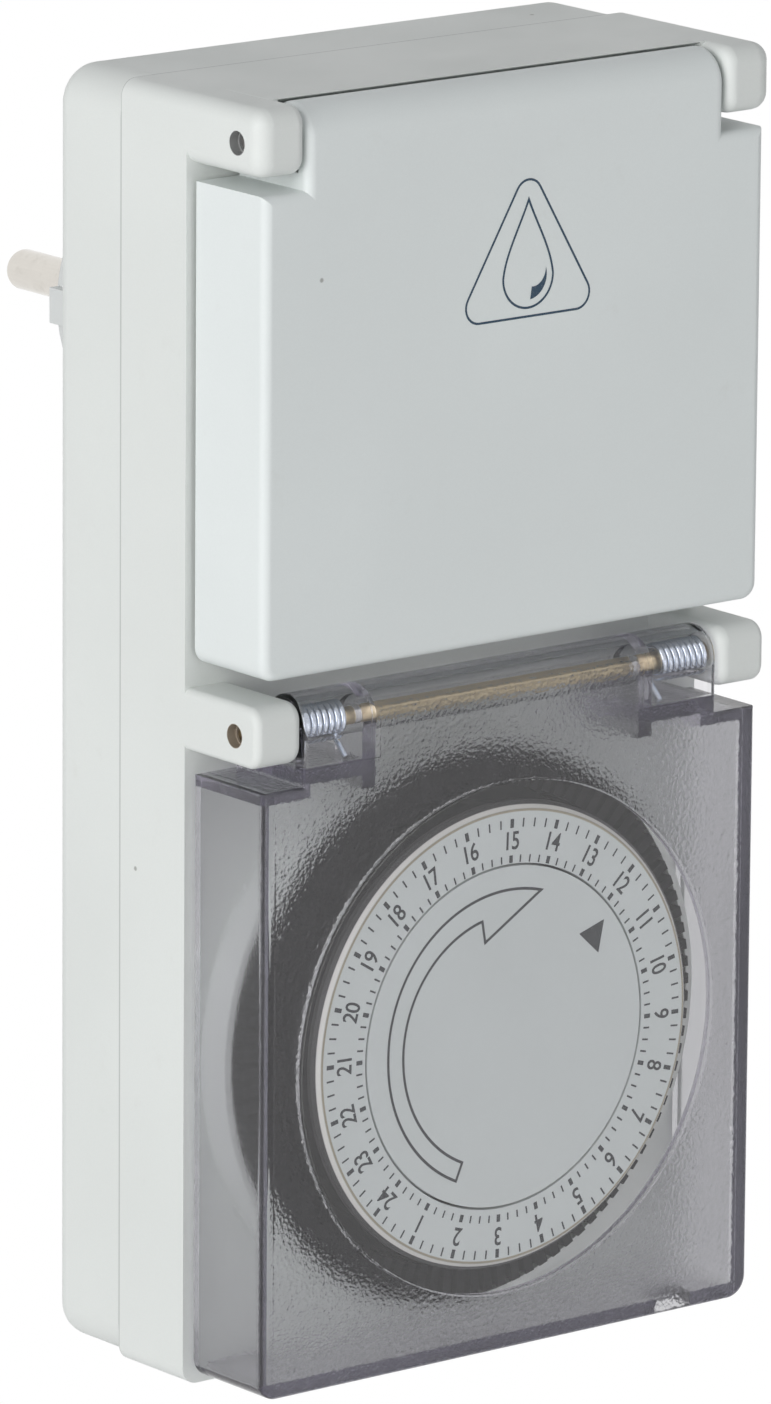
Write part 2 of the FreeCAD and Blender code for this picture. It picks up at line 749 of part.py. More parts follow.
def line_bar(doc):
    """Copper bar from the line pin down to the microswitch's feed terminal."""
    piece = Piece(doc, "line_bar")
    sheet = S.bar_sheet
    half = S.bar_width / 2
    across = (PIN_X - half, PIN_X + half)
    down = (S.switch_x - S.bar_width, S.switch_x)
    low = -S.bar_drop
    front = MOTOR_FRONT + S.switch_depth / 2
    step = (BOTTOM + S.plate_top - half, BOTTOM + S.plate_top + half)
    piece.box("Head", across, (PIN_BACK - sheet, PIN_BACK), (low, S.pin_head_radius))
    piece.box("Run", across, (front, PIN_BACK), (low - sheet, low))
    piece.box("Drop", across, (front, front + sheet), (step[0], low))
    piece.box("Across", (across[0], down[1]), (front, front + sheet), step)
    piece.box("Terminal", down, (front, front + sheet), (SWITCH_TOP, step[1]))
    return piece


def load_bar(doc):
    """Copper bar from the microswitch's load terminal up to the tail of the line sleeve."""
    piece = Piece(doc, "load_bar")
    sheet = S.bar_sheet
    outer = S.pin_radius + S.contact_clearance + S.contact_wall
    inner = PIN_X + outer + S.bar_gap
    side = (inner, inner + sheet)
    back = CONTACT_BACK + sheet * 2
    step = BOTTOM + S.plate_top + S.bar_width
    strip = (MOTOR_FRONT, MOTOR_FRONT + S.bar_width / 2)
    piece.box("Head", (PIN_X - outer, side[1]), (back - sheet, back), both(S.pin_radius))
    piece.box("Cheek", side, (strip[0], back), both(S.pin_radius))
    piece.box("Drop", side, strip, (step, S.pin_radius))
    post = S.switch_x + S.plunger_radius * 2
    piece.box("Across", (side[0], post + sheet), strip, (step, step + sheet))
    piece.box("Terminal", (post, post + sheet), strip, (SWITCH_TOP, step + sheet))
    return piece


def hinged_cover(doc, label, half, out, bottom, shoulder, axis, wall, corner, edge):
    """A flip cover: an open box with a narrow neck whose round top turns about the hinge pin."""
    piece = Piece(doc, label)
    face = FRONT - out
    back = FRONT - S.cover_gap
    barrel = out - S.hinge_out
    piece.box("Box", both(half), (face, back), (bottom, shoulder))
    corners = all_of(is_along("y"), is_on("z", bottom))
    piece.soften("LowCorners", corner, corners)
    piece.box("Neck", both(NECK_X), (face, HINGE_Y + S.rib_depth), (shoulder - wall, axis))
    piece.box("PocketFloor", both(NECK_X), (face, back), (shoulder - wall, shoulder + S.pocket_floor))
    piece.rod("Barrel", "x", (HINGE_Y, axis), both(NECK_X), barrel)
    piece.soften("FaceEdge", edge, all_of(is_on("y", face), lambda e: e.CenterOfMass.z < axis.value - SNAP))
    inner = half - wall
    piece.box("Inside", both(inner), (face + wall, back + OVER), (bottom + wall, shoulder - wall), cut=True)
    spans = (
        (both(RIB_X), shoulder - wall),
        ((-NECK_X - OVER, -RIB_X - S.rib_width), shoulder + S.pocket_floor),
        ((RIB_X + S.rib_width, NECK_X + OVER), shoulder + S.pocket_floor),
    )
    hollow = barrel - S.barrel_wall
    for x, floor in spans:
        piece.rod("Hollow", "x", (HINGE_Y, axis), x, hollow, cut=True)
        piece.box("Pocket", x, (face + wall, back + OVER), (floor, axis), cut=True)
    for side in (-1, 1):
        x = mirrored(side, RIB_X + S.rib_width, NECK_X - wall)
        piece.box("Under", x, (face + wall, back + OVER), (shoulder - wall * 2, shoulder), cut=True)
    hole = S.hinge_pin_radius + S.hinge_pin_clearance
    piece.rod("PinHole", "x", (HINGE_Y, axis), both(NECK_X + OVER), hole, cut=True)
    return piece


def lid(doc):
    """White flip lid over the socket."""
    return hinged_cover(
        doc,
        "lid",
        LID_HALF,
        S.lid_out,
        LID_BOTTOM,
        LID_SHOULDER,
        LID_AXIS,
        S.lid_wall,
        S.lid_corner,
        S.lid_edge,
    )


def lid_gasket(doc):
    """Rubber ring inside the lid that closes on the socket's rim."""
    inner = SOCKET_RADIUS - S.lid_gasket_width
    piece = Piece(doc, "lid_gasket")
    y = (FRONT - S.lid_out + S.lid_wall, SOCKET_RIM)
    piece.rod("Ring", "y", (0, 0), y, SOCKET_RADIUS + S.seat_gap)
    piece.rod("Inside", "y", (0, 0), (y[0] - OVER, y[1] + OVER), inner, cut=True)
    return piece


def dial_cover(doc):
    """Clear flip cover over the dial, with a thinner polished window and a finger notch below."""
    piece = hinged_cover(
        doc,
        "dial_cover",
        COVER_HALF,
        S.cover_out,
        COVER_BOTTOM,
        COVER_SHOULDER,
        COVER_AXIS,
        S.cover_wall,
        S.cover_corner,
        S.cover_edge,
    )
    inside = FRONT - S.cover_out + S.cover_wall
    depth = (inside - S.window_sink, inside + OVER)
    piece.rod("Window", "y", (0, DIAL_AXIS), depth, S.window_radius, cut=True)
    low = COVER_BOTTOM
    x = (NOTCH_X - S.notch_width / 2, NOTCH_X + S.notch_width / 2)
    y = (inside, inside + S.notch_depth)
    piece.box("Notch", x, y, (low - OVER, low + S.cover_wall + OVER), cut=True)
    return piece


def hinge_pin(doc, label, axis):
    """Steel hinge pin, sunk a little into both ears."""
    piece = Piece(doc, label)
    end = HALF - S.pin_sink
    piece.rod("Pin", "x", (HINGE_Y, axis), both(end), S.hinge_pin_radius)
    edges = lambda e: is_on("x", end)(e) or is_on("x", -end)(e)
    piece.soften("Ends", S.hinge_pin_radius / 4, edges, kind="Chamfer")
    return piece


def torsion_spring(doc, label, axis, floor, side):
    """Torsion spring round a hinge pin: a close coil, one leg on the housing and one on a pocket's floor."""
    wire = S.spring_wire.value / 2
    radius = S.spring_radius.value - wire
    slant = math.radians(S.spring_angle.value)
    turns = S.spring_turns.value - S.spring_angle.value / 360
    length = S.spring_pitch.value * turns
    section = Part.Wire(Part.makeCircle(wire, FreeCAD.Vector(radius, 0, 0), FreeCAD.Vector(0, 1, 0)))
    helix = Part.Wire(Part.makeHelix(S.spring_pitch.value, length, radius))
    coil = helix.makePipeShell([section], True, True)
    coil.rotate(FreeCAD.Vector(), FreeCAD.Vector(0, 0, 1), -S.spring_angle.value)
    start = FreeCAD.Vector(radius * math.cos(slant), -radius * math.sin(slant), 0)
    fall = (axis - floor - S.seat_gap).value - wire * math.cos(slant) + start.y
    down = FreeCAD.Vector(-math.sin(slant), -math.cos(slant), 0)
    floor_leg = Part.makeCylinder(wire, fall / math.sin(slant), start, down)
    end = FreeCAD.Vector(0, -radius, length)
    housing_leg = Part.makeCylinder(wire, (S.hinge_out - S.seat_gap).value, end, FreeCAD.Vector(1, 0, 0))
    shape = coil.fuse([floor_leg, housing_leg])
    if side < 0:
        shape = shape.mirror(FreeCAD.Vector(), FreeCAD.Vector(0, 0, 1))
    feature = doc.addObject("Part::Feature", "Spring")
    feature.Label = label
    feature.Shape = shape
    feature.Placement = FreeCAD.Placement(FreeCAD.Vector(), FreeCAD.Rotation(FreeCAD.Vector(1, 1, 1), 120))
    bind_place(feature, (side * SPRING_X, HINGE_Y, axis))
    return feature


def centre_disc(doc):
    """Fixed disc in the middle of the dial, on the end of the spindle."""
    piece = Piece(doc, "centre_disc", at=(0, FRONT, DIAL_AXIS))
    face = -S.dial_out
    back = face + S.disc_thickness
    hub = S.carrier_place - S.end_float
    bore = S.spindle_radius + S.spindle_clearance
    piece.turned(
        "Disc",
        [
            (as_size(0), face),
            (S.disc_radius, face),
            (S.disc_radius, back),
            (S.disc_hub, back),
            (S.disc_hub, hub),
            (bore, hub),
            (bore, back + S.seat_gap),
            (as_size(0), back + S.seat_gap),
        ],
    )
    return piece


def dial_ring(doc):
    """White number ring on the front of the drum, with a bevelled rim."""
    piece = Piece(doc, "dial_ring", at=(0, FRONT, DIAL_AXIS))
    face = -S.dial_out
    back = face + S.ring_thickness
    inner = S.disc_radius + S.ring_gap
    piece.turned(
        "Ring",
        [
            (inner, face),
            (S.ring_radius - S.ring_bevel, face),
            (S.ring_radius, face + S.ring_bevel),
            (S.ring_radius, back),
            (inner, back),
        ],
    )
    return piece


def tooth_outline(module, teeth, thinning):
    """Half widths of a gear tooth at its foot, pitch circle and tip, with the radii there."""
    pitch = teeth * module / 2
    half = math.pi * module / 4 - thinning
    return [
        (pitch - module * TOOTH_FOOT, half + module * TOOTH_FLARE),
        (pitch, half),
        (pitch + module * TOOTH_TIP, half - module * TOOTH_TAPER),
    ]


def add_teeth(piece, teeth, span):
    """Gear teeth all round the body's Y axis."""
    rows = tooth_outline(S.gear_module, teeth, S.tooth_thinning / 2)
    foot = (rows[0][0] - S.gear_module, rows[0][1])
    points = [(-foot[1], foot[0])]
    points += [(-half, radius) for radius, half in rows[1:]]
    points += [(half, radius) for radius, half in reversed(rows[1:])]
    points.append((foot[1], foot[0]))
    tooth = piece.plan("Tooth", span, points)
    piece.repeat("Teeth", tooth, teeth)


def dial_drum(doc):
    """Black drum: hub, rear gear, rim for the number ring and slotted carrier for the tappets."""
    half_pitch = 180 / S.gear_teeth.value
    piece = Piece(doc, "dial_drum", at=(0, FRONT, DIAL_AXIS))
    piece.body.Placement = FreeCAD.Placement(
        piece.body.Placement.Base, FreeCAD.Rotation(FreeCAD.Vector(0, 1, 0), half_pitch)
    )
    bore = S.spindle_radius + S.spindle_clearance
    root = S.gear_module * S.gear_teeth / 2 - S.gear_module * TOOTH_FOOT
    inner = root - S.drum_wall
    rim = S.ring_thickness - S.dial_out
    carrier = (S.carrier_place, S.carrier_place + S.carrier_thickness)
    back = S.gear_place + S.gear_width
    web = back - S.drum_wall
    piece.turned(
        "Drum",
        [
            (bore, carrier[0]),
            (S.drum_hub, carrier[0]),
            (S.drum_hub, web),
            (inner, web),
            (inner, rim),
            (root, rim),
            (root, carrier[0]),
            (S.carrier_radius, carrier[0]),
            (S.carrier_radius, carrier[1]),
            (root, carrier[1]),
            (root, back),
            (bore, back),
        ],
    )
    width = S.tappet_width / 2 + S.slot_clearance
    slot = piece.box(
        "Slot",
        both(width),
        (carrier[0] - OVER, carrier[1] + OVER),
        (S.tappet_inner - S.slot_clearance, S.carrier_radius + OVER),
        cut=True,
    )
    piece.repeat("Slots", slot, S.tappet_count)
    add_teeth(piece, S.gear_teeth, (S.gear_place, back))
    return piece


def tappets(doc, group):
    """One group of neighbouring tappets, each a small block that slides in its slot."""
    piece = Piece(doc, f"tappets_{group + 1:02d}", at=(0, FRONT, DIAL_AXIS))
    share = S.tappet_count.value / S.tappet_groups.value
    pitch = 360 / S.tappet_count.value
    offset = 180 / S.gear_teeth.value
    back = S.carrier_place + S.carrier_thickness
    for i in range(round(share)):
        angle = math.radians(offset + pitch * (group * share + i))
        reach = (S.tappet_inner, S.tappet_outer)
        block = piece.box("Tappet", both(S.tappet_width / 2), (-S.tappet_out, back), reach)
        turn = FreeCAD.Rotation(FreeCAD.Vector(0, 1, 0), math.degrees(angle))
        block.Placement = FreeCAD.Placement(FreeCAD.Vector(), turn)
        sine, cosine = math.sin(angle), math.cos(angle)
        bind_place(
            block,
            (
                S.tappet_inner * sine - S.tappet_width / 2 * cosine,
                -S.tappet_out,
                S.tappet_inner * cosine + S.tappet_width / 2 * sine,
            ),
        )
    return piece


def dial_spindle(doc):
    """Brass post that carries the drum and the centre disc, riveted to the mechanism plate."""
    piece = Piece(doc, "dial_spindle", at=(0, FRONT, DIAL_AXIS))
    tip = -S.dial_out + S.disc_thickness + S.seat_gap * 2
    shoulder = S.gear_place + S.gear_width + S.end_float
    front = S.plate_place
    back = S.plate_place + S.plate_thickness
    piece.turned(
        "Post",
        [
            (as_size(0), tip),
            (S.spindle_radius, tip),
            (S.spindle_radius, shoulder),
            (S.spindle_shoulder, shoulder),
            (S.spindle_shoulder, front),
            (S.spindle_radius, front),
            (S.spindle_radius, back),
            (S.spindle_flange, back),
            (S.spindle_flange, back + S.plate_thickness / 2),
            (as_size(0), back + S.plate_thickness / 2),
        ],
    )
    return piece


def mechanism_plate(doc):
    """Steel plate behind the dial that carries the spindle, motor and switch."""
    piece = Piece(doc, "mechanism_plate")
    y = (PLATE_FRONT, PLATE_BACK)
    through = (y[0] - OVER, y[1] + OVER)
    piece.box("Plate", both(S.plate_width / 2), y, (BOTTOM + S.plate_bottom, BOTTOM + S.plate_top))
    piece.soften("PlateCorners", S.front_corner, is_along("y"))
    piece.rod("SpindleHole", "y", (0, DIAL_AXIS), through, S.spindle_radius + S.seat_gap, cut=True)
    piece.rod("ShaftHole", "y", (0, PINION_AXIS), through, S.motor_shaft + S.motor_gap, cut=True)
    plunger = (S.switch_x, BOTTOM + S.plunger_height)
    piece.rod("PlungerHole", "y", plunger, through, S.plunger_radius + S.screw_clearance, cut=True)
    for place in plate_screw_places():
        piece.rod("ScrewHole", "y", place, through, S.plate_screw_radius + S.screw_clearance, cut=True)
    return piece


def motor_body(doc):
    """Sealed synchronous motor with its gearbox, in a round can with a short nose."""
    piece = Piece(doc, "motor_body", at=(0, 0, PINION_AXIS))
    y = (MOTOR_FRONT, MOTOR_FRONT + S.motor_depth)
    piece.rod("Can", "y", (0, 0), y, S.motor_radius)
    piece.soften("CanEdge", S.front_edge, is_on("y", y[1]))
    piece.rod("Nose", "y", (0, 0), (PLATE_BACK, MOTOR_FRONT + OVER), S.motor_radius / 2)
    bore = S.motor_shaft + S.spindle_clearance
    piece.rod("ShaftBore", "y", (0, 0), (PLATE_BACK - OVER, MOTOR_FRONT + S.motor_depth / 2), bore, cut=True)
    return piece


def drive_pinion(doc):
    """Motor's output pinion on its shaft; it meshes with the drum's rear gear."""
    piece = Piece(doc, "drive_pinion", at=(0, 0, PINION_AXIS))
    y = (FRONT + S.gear_place, FRONT + S.gear_place + S.gear_width)
    root = S.gear_module * S.pinion_teeth / 2 - S.gear_module * TOOTH_FOOT
    piece.rod("Core", "y", (0, 0), y, root)
    add_teeth(piece, S.pinion_teeth, y)
    shaft = (y[0] + OVER, MOTOR_FRONT + S.motor_depth / 2 - S.seat_gap)
    piece.rod("Shaft", "y", (0, 0), shaft, S.motor_shaft)
    return piece


def microswitch_body(doc):
    """Microswitch that makes and breaks the line, with its plunger's bore facing the lever."""
    piece = Piece(doc, "microswitch_body")
    x = (SWITCH_SIDE - S.switch_width, SWITCH_SIDE)
    y = (PLATE_BACK, PLATE_BACK + S.switch_depth)
    piece.box("Case", x, y, (BOTTOM + S.switch_low, SWITCH_TOP))
    bore = S.plunger_radius + S.plunger_clearance
    centre = (S.switch_x, BOTTOM + S.plunger_height)
    depth = (PLATE_BACK - OVER, PLATE_BACK + S.switch_depth / 2)
    piece.rod("PlungerBore", "y", centre, depth, bore, cut=True)
    return piece


def lever_span():
    """Y span of the switch lever's plate."""
    nose = FRONT + S.carrier_place + S.carrier_thickness + S.tappet_travel + S.nose_gap
    return (nose + S.lever_thickness, nose + S.lever_thickness * 2)


def switch_plunger(doc):
    """Plunger between the lever and the microswitch's contacts."""
    piece = Piece(doc, "switch_plunger")
    centre = (S.switch_x, BOTTOM + S.plunger_height)
    y = (lever_span()[1] + S.seat_gap, PLATE_BACK + S.switch_depth / 4)
    piece.rod("Plunger", "y", centre, y, S.plunger_radius)
    return piece


def switch_lever(doc):
    """Lever whose nose rides behind the tappets and whose back presses the plunger."""
    piece = Piece(doc, "switch_lever")
    x = (S.switch_x - S.lever_width / 2, S.switch_x + S.lever_width / 2)
    y = lever_span()
    nose = BOTTOM + S.lever_nose
    pivot = BOTTOM + S.lever_pivot
    piece.box("Arm", x, y, (nose - S.nose_width / 2, pivot))
    piece.rod("Eye", "x", ((y[0] + y[1]) / 2, pivot), x, S.lever_eye)
    half = S.nose_width / 2
    tip = (S.switch_x - half, S.switch_x + half)
    piece.box("Nose", tip, (y[0] - S.lever_thickness, y[1]), (nose - half, nose + half))
    bore = S.plunger_radius + S.plunger_clearance
    piece.rod("PivotHole", "x", ((y[0] + y[1]) / 2, pivot), (x[0] - OVER, x[1] + OVER), bore, cut=True)
    return piece


def lever_pivot(doc):
    """Bracket on the mechanism plate with the small pin on which the switch lever turns."""
    piece = Piece(doc, "lever_pivot")
    y = lever_span()
    half = S.lever_width / 2 + S.nose_gap * 2
    outer = half + S.plate_thickness
    pivot = BOTTOM + S.lever_pivot
    across = (S.switch_x - outer, S.switch_x + outer)
    piece.rod("Pin", "x", ((y[0] + y[1]) / 2, pivot), across, S.plunger_radius)
    height = (pivot - S.lever_thickness, pivot + S.lever_thickness)
    for side in (-1, 1):
        x = mirrored(side, half, outer)
        piece.box("Cheek", (S.switch_x + x[0], S.switch_x + x[1]), (y[0], PLATE_FRONT), height)
    return piece


def make_sheet(doc):
    """The driving dimensions as named spreadsheet cells."""
    sheet = doc.addObject("Spreadsheet::Sheet", "Sizes")
    for row, (name, value) in enumerate(SIZES.items(), 1):
        sheet.set(f"A{row}", name)
        sheet.set(f"B{row}", str(value))
        sheet.setAlias(f"B{row}", name)
    doc.recompute()


def make_pieces(doc):
    """Every sub-part of the timer."""
    rear_shell(doc)
    front_shell(doc)
    housing_gasket(doc)
    head = (S.screw_head_radius, S.screw_head)
    drive = (S.drive_length, S.drive_width, S.drive_depth)
    seat = REAR - S.screw_sink
    screws(doc, "housing_screws", screw_places(), seat, S.screw_radius, head, S.screw_length, drive)
    plug_body(doc)
    plug_pin(doc, "line_pin", 1)
    plug_pin(doc, "neutral_pin", -1)
    plug_earth_strap(doc)
    socket_insert(doc)
    socket_earth_clip(doc)
    contact(doc, "line_contact", 1)
    contact(doc, "neutral_contact", -1)
    neutral_bar(doc)
    line_bar(doc)
    load_bar(doc)
    lid(doc)
    lid_gasket(doc)
    hinge_pin(doc, "lid_hinge_pin", LID_AXIS)
    dial_cover(doc)
    hinge_pin(doc, "cover_hinge_pin", COVER_AXIS)
    for side, word in ((-1, "left"), (1, "right")):
        torsion_spring(doc, f"lid_spring_{word}", LID_AXIS, LID_SHOULDER + S.pocket_floor, side)
        torsion_spring(doc, f"cover_spring_{word}", COVER_AXIS, COVER_SHOULDER + S.pocket_floor, side)
    centre_disc(doc)
    dial_ring(doc)
    dial_drum(doc)
    for group in range(round(S.tappet_groups.value)):
        tappets(doc, group)
    dial_spindle(doc)
    mechanism_plate(doc)
    small_head = (S.plate_screw_head_radius, S.plate_screw_head)
    small_drive = (S.plate_drive_length, S.plate_drive_width, S.plate_drive_depth)
    screws(
        doc,
        "plate_screws",
        plate_screw_places(),
        PLATE_BACK,
        S.plate_screw_radius,
        small_head,
        S.plate_screw_length,
        small_drive,
    )
    motor_body(doc)
    drive_pinion(doc)
    microswitch_body(doc)
    switch_plunger(doc)
    switch_lever(doc)
    lever_pivot(doc)


def check(doc):
    """Stops if any object failed or any sub-part has no sound solid."""
    doc.recompute()
    for thing in doc.Objects:
        if "Invalid" in thing.State or "Error" in thing.State:
            raise RuntimeError(f"{thing.Label} is {thing.State}")
    for thing in finished(doc):
        if thing.Shape.isNull() or not thing.Shape.isValid() or not thing.Shape.Solids:
            raise RuntimeError(f"{thing.Label} has no sound solid")


def finished(doc):
    """The sub-parts: every body, and every shape of its own."""
    sorts = ("PartDesign::Body", "Part::Feature")
    return [thing for thing in doc.Objects if thing.TypeId in sorts]


def main():
    """Builds the timer and writes one STEP file for each sub-part."""
    doc = FreeCAD.newDocument("OutdoorTimer")
    make_sheet(doc)
    make_pieces(doc)
    check(doc)
    os.makedirs("parts", exist_ok=True)
    for thing in finished(doc):
        thing.Shape.exportStep(f"parts/{thing.Label}.step")
        print(thing.Label, len(thing.Shape.Solids), round(thing.Shape.Volume, 2))


main()
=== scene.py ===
"""Looks of the outdoor plug-in timer: plastics, printed dial, clear cover, springs, light and camera."""

import json
import math

import bmesh
import bpy
from mathutils import Matrix, Vector


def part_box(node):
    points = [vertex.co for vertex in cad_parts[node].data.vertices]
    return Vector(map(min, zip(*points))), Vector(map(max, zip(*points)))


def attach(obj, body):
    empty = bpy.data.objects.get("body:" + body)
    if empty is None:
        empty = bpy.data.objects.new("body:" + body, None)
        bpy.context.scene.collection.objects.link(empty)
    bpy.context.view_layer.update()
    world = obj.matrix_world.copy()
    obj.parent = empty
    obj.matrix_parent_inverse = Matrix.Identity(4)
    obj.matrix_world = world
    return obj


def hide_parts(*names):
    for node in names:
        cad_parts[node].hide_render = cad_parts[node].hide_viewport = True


MM = 0.001

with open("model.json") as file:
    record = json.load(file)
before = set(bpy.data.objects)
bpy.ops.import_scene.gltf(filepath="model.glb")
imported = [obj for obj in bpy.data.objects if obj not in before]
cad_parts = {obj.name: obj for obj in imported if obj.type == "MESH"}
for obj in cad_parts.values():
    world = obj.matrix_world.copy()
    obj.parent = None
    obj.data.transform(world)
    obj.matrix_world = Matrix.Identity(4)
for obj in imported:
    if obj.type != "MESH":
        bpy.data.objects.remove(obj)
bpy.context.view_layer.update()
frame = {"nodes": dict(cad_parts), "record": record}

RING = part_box("dial_ring")
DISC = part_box("centre_disc")
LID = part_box("lid")
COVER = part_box("dial_cover")
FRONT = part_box("front_shell")
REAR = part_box("rear_shell")
COVER_PIN = (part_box("cover_hinge_pin")[0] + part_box("cover_hinge_pin")[1]) / 2
LID_PIN = (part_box("lid_hinge_pin")[0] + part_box("lid_hinge_pin")[1]) / 2
AXIS = Vector(((RING[0].x + RING[1].x) / 2, 0, (RING[0].z + RING[1].z) / 2))
PARTING_Y = REAR[0].y
PRINT_LIFT = 0.02 * MM
PIN_MOUTH = 1.38 * MM

# the clear cover's polished window, its spring pockets and the smooth strip along its hinge and sides
WINDOW_RADIUS = 30.2 * MM
POCKET_INSIDE = 19.2 * MM
POCKET_FLOOR = COVER_PIN.z - 4.4 * MM
BARREL_EDGE = COVER_PIN.z + 0.9 * MM
SIDE_WALL = COVER[1].x - 2.0 * MM

# the ring's moulded rim
FACE_EDGE = 26.72 * MM
RIM_EDGE = 27.12 * MM


# ---------------------------------------------------------------- materials
class Shader:
    """A node material, built node by node."""

    def __init__(self, name):
        self.material = bpy.data.materials.new(name)
        self.material.use_nodes = True
        self.tree = self.material.node_tree
        self.tree.nodes.clear()
        self.output = self.node("ShaderNodeOutputMaterial")
        self.place = self.node("ShaderNodeTexCoord").outputs["Object"]

    def node(self, kind, inputs=None, **settings):
        """Adds a node; an input takes a plain value or another node's socket."""
        made = self.tree.nodes.new(kind)
        for key, value in settings.items():
            setattr(made, key, value)
        for key, value in (inputs or {}).items():
            if isinstance(value, bpy.types.NodeSocket):
                self.tree.links.new(value, made.inputs[key])
            else:
                made.inputs[key].default_value = value
        return made

    def math(self, operation, *values):
        """One sum of plain values or sockets."""
        made = self.node("ShaderNodeMath", operation=operation)
        for i, value in enumerate(values):
            if isinstance(value, bpy.types.NodeSocket):
                self.tree.links.new(value, made.inputs[i])
            else:
                made.inputs[i].default_value = value
        return made.outputs[0]

    def distance(self, from_x, from_y, from_z, centre):
        """The distance of a place, given by three values, from a fixed centre."""
        place = self.node("ShaderNodeCombineXYZ", {"X": from_x, "Y": from_y, "Z": from_z})
        made = self.node("ShaderNodeVectorMath", operation="DISTANCE")
        self.tree.links.new(place.outputs[0], made.inputs[0])
        made.inputs[1].default_value = centre
        return made.outputs["Value"]

    def from_dial_axis(self):
        """The distance from the dial's axis."""
        axes = self.axes()
        return self.distance(axes[0], 0.0, axes[2], tuple(AXIS))

    def noise(self, scale, detail=2.0, roughness=0.5, place=None):
        """Noise with features about 1/scale metres across."""
        inputs = {"Vector": place or self.place, "Scale": scale, "Detail": detail}
        return self.node("ShaderNodeTexNoise", inputs | {"Roughness": roughness}).outputs["Fac"]

    def spread(self, value, low, high, to_low=0.0, to_high=1.0):
        """Maps a value smoothly from one range to another and clamps it."""
        inputs = {"Value": value, "From Min": low, "From Max": high, "To Min": to_low, "To Max": to_high}
        return self.node("ShaderNodeMapRange", inputs, interpolation_type="SMOOTHSTEP").outputs[0]

    def mix(self, share, first, second):
        """Mixes two colours."""
        made = self.node("ShaderNodeMix", data_type="RGBA")
        for index, value in ((0, share), (6, first), (7, second)):
            if isinstance(value, bpy.types.NodeSocket):
                self.tree.links.new(value, made.inputs[index])
            else:
                made.inputs[index].default_value = value if index == 0 else (*value[:3], 1)
        return made.outputs[2]

    def bump(self, height, distance, strength):
        """A normal that follows a height."""
        inputs = {"Height": height, "Distance": distance, "Strength": strength}
        return self.node("ShaderNodeBump", inputs).outputs[0]

    def axes(self):
        """The object's x, y and z as three sockets."""
        return self.node("ShaderNodeSeparateXYZ", {"Vector": self.place}).outputs

    def finish(self, inputs):
        """Closes the material with one Principled shader."""
        shader = self.node("ShaderNodeBsdfPrincipled", inputs)
        self.tree.links.new(shader.outputs[0], self.output.inputs["Surface"])
        return self.material

    def finish_mixed(self, share, shader, other):
        """Closes the material with a mix of two shaders."""
        both = self.node("ShaderNodeMixShader", {0: share, 1: shader.outputs[0], 2: other.outputs[0]})
        self.tree.links.new(both.outputs[0], self.output.inputs["Surface"])
        return self.material


def near(shader, value, centre, half, soft):
    """1 where a value lies within half of a centre, falling to 0 over soft."""
    away = shader.math("ABSOLUTE", shader.math("SUBTRACT", value, centre))
    return shader.spread(away, half, half + soft, 1.0, 0.0)


def moulded(name, colour, grain=0.5, rough=0.48, seam=False, specks=0.6):
    """Moulded plastic with a fine spark-eroded grain, faint flow marks, scuffs and a few specks.

    With a seam it also has a grey line along the parting, and round each hinge pin a dark mouth in its
    hole, painted shade mixed with dirt.
    """
    s = Shader(name)
    tint = s.spread(s.noise(28, 3.0), 0.3, 0.7)
    darker = tuple(c * 0.965 for c in colour)
    base = s.mix(tint, darker, colour)
    fine = s.noise(5200, 2.0, 0.6)
    base = s.mix(s.spread(fine, 0.25, 0.75, 0.0, 0.10), base, tuple(c * 0.80 for c in colour))
    grime = s.spread(s.noise(150, 6.0, 0.7), 0.60, 0.80, 0.0, 0.10)
    base = s.mix(grime, base, (0.52, 0.50, 0.44))
    dots = s.node("ShaderNodeTexVoronoi", {"Vector": s.place, "Scale": 110.0, "Randomness": 1.0})
    dark = s.spread(dots.outputs["Distance"], 0.018, 0.040, 1.0, 0.0)
    chosen = s.node("ShaderNodeSeparateColor", {"Color": dots.outputs["Color"]}).outputs[0]
    dark = s.math("MULTIPLY", dark, s.spread(chosen, 0.80, 0.84, 0.0, specks))
    base = s.mix(dark, base, (0.16, 0.15, 0.13))
    if seam:
        axes = s.axes()
        line = near(s, axes[1], PARTING_Y, 0.05 * MM, 0.12 * MM)
        base = s.mix(s.math("MULTIPLY", line, 0.55), base, (0.30, 0.31, 0.30))
        # inside each hinge-pin hole the shell is darkened: painted shade in the hole, mixed with some dirt
        for pin, hole_shade_and_dirt in ((LID_PIN, (0.20, 0.20, 0.20)), (COVER_PIN, (0.24, 0.17, 0.10))):
            away = s.distance(0.0, axes[1], axes[2], (0, pin.y, pin.z))
            base = s.mix(s.spread(away, PIN_MOUTH, PIN_MOUTH + 0.05 * MM, 0.8, 0.0), base, hole_shade_and_dirt)
    scuff = s.noise(60, 8.0, 0.75)
    roughness = s.spread(scuff, 0.35, 0.7, rough - 0.05, rough + 0.09)
    soft = s.noise(700, 3.0, 0.5)
    height = s.math("ADD", s.math("MULTIPLY", fine, grain), s.math("MULTIPLY", soft, 0.25))
    return s.finish(
        {
            "Base Color": base,
            "Roughness": roughness,
            "IOR": 1.46,
            "Normal": s.bump(height, 0.03 * MM, 0.55),
        }
    )


